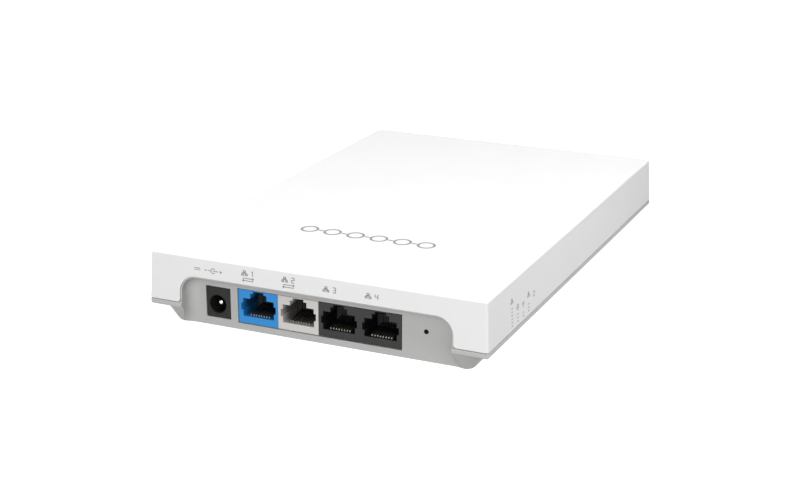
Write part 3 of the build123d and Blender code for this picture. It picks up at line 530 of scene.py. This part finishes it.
def dress_nodes():
    """Gives each CAD node its slot's material."""
    materials = make_materials()
    for part in frame["record"]["subparts"]:
        for slot in frame["nodes"][part["node"]].material_slots:
            slot.material = materials[part["material_slot"]]


# ---------------------------------------------------------------- printed marks
INK_PROUD = 0.02 * MM      # the print stands this far out of its face
INK_SUNK = 0.03 * MM       # and reaches this far into it
RING_SIDES = 28
SHARPEST = 0.5             # keeps the mitre of a sharp corner within the stroke's width


# Each of these calls returns a path: a list of points, and whether it is closed.
def arc(u, v, radius, start=0.0, stop=360.0):
    """An arc about (u, v), in degrees from the right."""
    steps = max(4, round(RING_SIDES * abs(stop - start) / 360))
    closed = abs(stop - start) >= 360
    count = steps if closed else steps + 1
    turns = [math.radians(start + (stop - start) * i / steps) for i in range(count)]
    return [(u + radius * math.cos(t), v + radius * math.sin(t)) for t in turns], closed


def line(*points):
    """An open path through the points."""
    return list(points), False


def loop(*points):
    """A closed path through the points."""
    return list(points), True


def rectangle(u, v, width, height):
    """A closed path round a rectangle with its centre at (u, v)."""
    signs = ((-1, -1), (1, -1), (1, 1), (-1, 1))
    return loop(*((u + i * width / 2, v + j * height / 2) for i, j in signs))


def borders(points, closed, width):
    """The left and right border of a stroke, mitred at its corners."""
    count = len(points)
    left, right = [], []
    for i, point in enumerate(points):
        here = Vector(point)
        before = Vector(points[i - 1]) if closed or i else None
        after = Vector(points[(i + 1) % count]) if closed or i < count - 1 else None
        sides = []
        for start, end in ((before, here), (here, after)):
            if start is not None and end is not None:
                way = (end - start).normalized()
                sides.append(Vector((-way.y, way.x)))
        mitre = sum(sides, Vector((0, 0))).normalized()
        reach = width / 2 / max(SHARPEST, mitre.dot(sides[0]))
        left.append(here + mitre * reach)
        right.append(here - mitre * reach)
    return left, right


class Print:
    """Strokes printed on one flat face. u and v are millimetres along the face from its origin."""

    def __init__(self, name, origin, along, up):
        self.name = name
        self.origin = Vector(origin)
        self.along = Vector(along).normalized()
        self.up = Vector(up).normalized()
        self.out = self.along.cross(self.up)
        self.points = []
        self.faces = []

    def corner(self, uv, height):
        """The point over (u, v) at a height above the face."""
        return self.origin + (self.along * uv[0] + self.up * uv[1]) * MM + self.out * height

    def stroke(self, path, width, shift=(0.0, 0.0)):
        """Adds a closed ribbon of the stroke's width, thin as ink."""
        points, closed = path
        placed = [(u + shift[0], v + shift[1]) for u, v in points]
        left, right = borders(placed, closed, width)
        first = len(self.points)
        for a, b in zip(left, right):
            for uv, height in ((a, INK_PROUD), (b, INK_PROUD), (b, -INK_SUNK), (a, -INK_SUNK)):
                self.points.append(self.corner(uv, height))
        count = len(left)
        rings = [[first + 4 * i + k for k in range(4)] for i in range(count)]
        for i in range(count if closed else count - 1):
            here, following = rings[i], rings[(i + 1) % count]
            for k in range(4):
                m = (k + 1) % 4
                self.faces.append((here[k], here[m], following[m], following[k]))
        if not closed:
            self.faces.append(tuple(reversed(rings[0])))
            self.faces.append(tuple(rings[-1]))

    def strokes(self, paths, width, shift=(0.0, 0.0)):
        """Adds a stroke along each path."""
        for path in paths:
            self.stroke(path, width, shift)

    def finish(self, material, slot):
        """Makes the piece, which moves with the housing."""
        mesh = bpy.data.meshes.new(self.name)
        mesh.from_pydata([tuple(p) for p in self.points], [], self.faces)
        mesh.validate()
        piece = bpy.data.objects.new(self.name, mesh)
        bpy.context.scene.collection.objects.link(piece)
        mesh.materials.append(material)
        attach(piece, "housing")


# Small pictures, about 2 mm tall, each a list of strokes about its own centre.
def direct_current():
    """The sign for direct current: a line over three dashes."""
    dashes = [line((i * 0.85 - 0.25, -0.3), (i * 0.85 + 0.25, -0.3)) for i in (-1, 0, 1)]
    return [line((-1.15, 0.3), (1.15, 0.3))] + dashes


def polarity():
    """The sign for a positive centre pin: minus, a sleeve round a pin, and plus."""
    return [
        line((-3.4, 0), (-2.4, 0)),
        line((-1.9, 0), (-0.85, 0)),
        arc(0, 0, 0.85, 40, 320),
        line((-0.15, 0), (1.9, 0)),
        line((2.4, 0), (3.4, 0)),
        line((2.9, -0.5), (2.9, 0.5)),
    ]


def network():
    """One box that leads to two boxes below it."""
    boxes = [rectangle(u, v, 0.8, 0.5) for u, v in ((0, 0.55), (-0.7, -0.6), (0.7, -0.6))]
    fork = line((-0.7, -0.35), (-0.7, 0.0), (0.7, 0.0), (0.7, -0.35))
    return boxes + [line((0, 0.3), (0, 0.0)), fork]


def arrows():
    """Two arrows, out and back."""
    heads = [
        line((1.6, 0.85), (2.1, 0.4), (1.6, -0.05)),
        line((-1.6, 0.05), (-2.1, -0.4), (-1.6, -0.85)),
    ]
    return heads + [line((-2.0, v), (2.0, v)) for v in (0.4, -0.4)]


def waves():
    """Radio waves over a dot."""
    return [arc(0, -0.7, r, 45, 135) for r in (0.6, 1.1, 1.6)] + [arc(0, -0.7, 0.12)]


def globe():
    """A circle with its equator and one meridian."""
    return [arc(0, 0, 0.95), line((-0.95, 0), (0.95, 0)), line((0, -0.95), (0, 0.95))]


def power():
    """A ring, open at the top, with a bar in the gap."""
    return [arc(0, 0, 0.95, 125, 415), line((0, 0.35), (0, 1.15))]


SEGMENTS = {
    # each digit's strokes, as runs of corners, 1 wide and 1.7 tall
    1: [[(-0.25, 0.6), (0.1, 0.85), (0.1, -0.85)]],
    2: [[(-0.5, 0.85), (0.5, 0.85), (0.5, 0), (-0.5, 0), (-0.5, -0.85), (0.5, -0.85)]],
    3: [[(-0.5, 0.85), (0.5, 0.85), (0.5, -0.85), (-0.5, -0.85)], [(-0.4, 0), (0.5, 0)]],
    4: [[(-0.5, 0.85), (-0.5, 0), (0.5, 0)], [(0.5, 0.85), (0.5, -0.85)]],
}


def digit(number):
    """A digit drawn with straight strokes."""
    return [line(*run) for run in SEGMENTS[number]]


COVER_DRAFT = 2.77         # degrees that the cover's walls lean inward
FINE_MM = 0.26             # stroke of the small signs
TOP_MARK_U = (-26.0, 25.0)    # the row's left end and right end
TOP_MARK_RADIUS = 2.9
TOP_MARK_COUNT = 6
TOP_MARK_BACK = 44.5       # mark's middle line, from the cover's front
TOP_MARK_STROKE = 0.9
TOP_MARK_GAP = 0.7         # between a ring and the bars beside it
FRONT_MARK_V = 22.2        # middle height of the marks over the panel
ROW_GAP = 2.2              # between two rows of marks
PORTS_MM = (-23.86, -8.62, 6.62, 21.86)
NETWORK_SHIFT = -1.4       # from a port's middle
DIGIT_SHIFT = 1.6
INLET_MM = -39.5
CURRENT_SHIFT = -4.0       # from the inlet's middle
POLARITY_SHIFT = 2.2
STATUS_MM = (-71.5, -66.2, -60.9, -55.6, -50.3)    # the status lights' places along the side
TICK_MM = 0.8              # half a tick's length
TICK_PITCH = 1.2
TICK_BOTTOM = 10.8         # height of each column's lowest tick
SIDE_COLUMNS = (
    # sign, its height, ticks below it
    (network, 19.4, 6),
    (globe, 15.6, 3),
    (waves, 14.7, 2),
    (network, 16.6, 3),
    (power, 15.2, 0),
)
LABEL_MARGIN = 1.5         # from the label's edge to the frame
LABEL_ROWS = 5
FRAME_STROKE = 0.3
RULE_STROKE = 0.2
RULE_MARGIN = 2.0
BAR_STROKE = 1.1
LABEL_BARS = (
    # start, stop, how much the stop moves from row to row, rows before it starts again
    (-22.0, -14.0, 1.5, 3),
    (-8.0, 6.0, -2.0, 2),
    (10.0, 20.0, -3.0, 3),
)


def cover_face(name, side):
    """The drawing surface on the cover's top, front or right wall."""
    low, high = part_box("top_cover")
    lean = math.tan(math.radians(COVER_DRAFT))
    if side == "top":
        return Print(name, (0, low[1], high[2]), (1, 0, 0), (0, 1, 0))
    if side == "front":
        return Print(name, (0, low[1] - low[2] * lean, 0), (1, 0, 0), (0, lean, 1))
    return Print(name, (high[0] + low[2] * lean, 0, 0), (0, 1, 0), (-lean, 0, 1))


def print_top(ink):
    """A plain row of rings across the top, with a short bar between each two."""
    face = cover_face("top_mark", "top")
    first = TOP_MARK_U[0] + TOP_MARK_RADIUS
    last = TOP_MARK_U[1] - TOP_MARK_RADIUS
    pitch = (last - first) / (TOP_MARK_COUNT - 1)
    for i in range(TOP_MARK_COUNT):
        u = first + i * pitch
        face.stroke(arc(u, TOP_MARK_BACK, TOP_MARK_RADIUS), TOP_MARK_STROKE)
        if i:
            start = u - pitch + TOP_MARK_RADIUS + TOP_MARK_GAP
            stop = u - TOP_MARK_RADIUS - TOP_MARK_GAP
            face.stroke(line((start, TOP_MARK_BACK), (stop, TOP_MARK_BACK)), TOP_MARK_STROKE)
    face.finish(ink, "cover_white")


def print_front(ink):
    """Signs over the inlet and over each port."""
    face = cover_face("front_marks", "front")
    face.strokes(direct_current(), FINE_MM, (INLET_MM + CURRENT_SHIFT, FRONT_MARK_V))
    face.strokes(polarity(), FINE_MM, (INLET_MM + POLARITY_SHIFT, FRONT_MARK_V))
    for number, u in enumerate(PORTS_MM, 1):
        paired = number <= 2
        v = FRONT_MARK_V + ROW_GAP / 2 * paired
        face.strokes(network(), FINE_MM, (u + NETWORK_SHIFT, v))
        face.strokes(digit(number), FINE_MM, (u + DIGIT_SHIFT, v))
        if paired:
            face.strokes(arrows(), FINE_MM, (u, FRONT_MARK_V - ROW_GAP / 2))
    face.finish(ink, "cover_white")


def print_side(ink):
    """A column of ticks under a sign beside each of the five status lights."""
    face = cover_face("side_marks", "right")
    for u, (sign, height, ticks) in zip(STATUS_MM, SIDE_COLUMNS):
        face.strokes(sign(), FINE_MM, (u, height))
        for i in range(ticks):
            v = TICK_BOTTOM + i * TICK_PITCH
            face.stroke(line((u - TICK_MM, v), (u + TICK_MM, v)), FINE_MM)
    face.finish(ink, "cover_white")


def print_label(ink):
    """A blank table on the label under the base: a frame, rules and plain bars."""
    low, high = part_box("rating_label")
    middle = ((low[0] + high[0]) / 2, (low[1] + high[1]) / 2, low[2])
    face = Print("label_marks", middle, (-1, 0, 0), (0, 1, 0))
    width, height = (high[0] - low[0]) / MM, (high[1] - low[1]) / MM
    top = height / 2 - LABEL_MARGIN
    row_height = 2 * top / LABEL_ROWS
    rule_end = width / 2 - RULE_MARGIN
    face.stroke(rectangle(0, 0, width - 2 * LABEL_MARGIN, 2 * top), FRAME_STROKE)
    for i in range(1, LABEL_ROWS):
        v = top - i * row_height
        face.stroke(line((-rule_end, v), (rule_end, v)), RULE_STROKE)
    for row in range(LABEL_ROWS):
        v = top - (row + 0.5) * row_height
        for start, stop, step, cycle in LABEL_BARS:
            face.stroke(line((start, v), (stop + step * (row % cycle), v)), BAR_STROKE)
    face.finish(ink, "label_white")


def print_marks():
    """All the printing, in three inks."""
    gray_ink = screen_ink("ink_gray", (0.22, 0.22, 0.22))
    dark_ink = screen_ink("ink_dark", (0.03, 0.03, 0.035))
    silver_ink = screen_ink("ink_silver", (0.28, 0.28, 0.28))
    print_top(silver_ink)
    print_front(gray_ink)
    print_side(gray_ink)
    print_label(dark_ink)


# ---------------------------------------------------------------- the whole scene
make_camera()
make_studio()
dress_nodes()
print_marks()
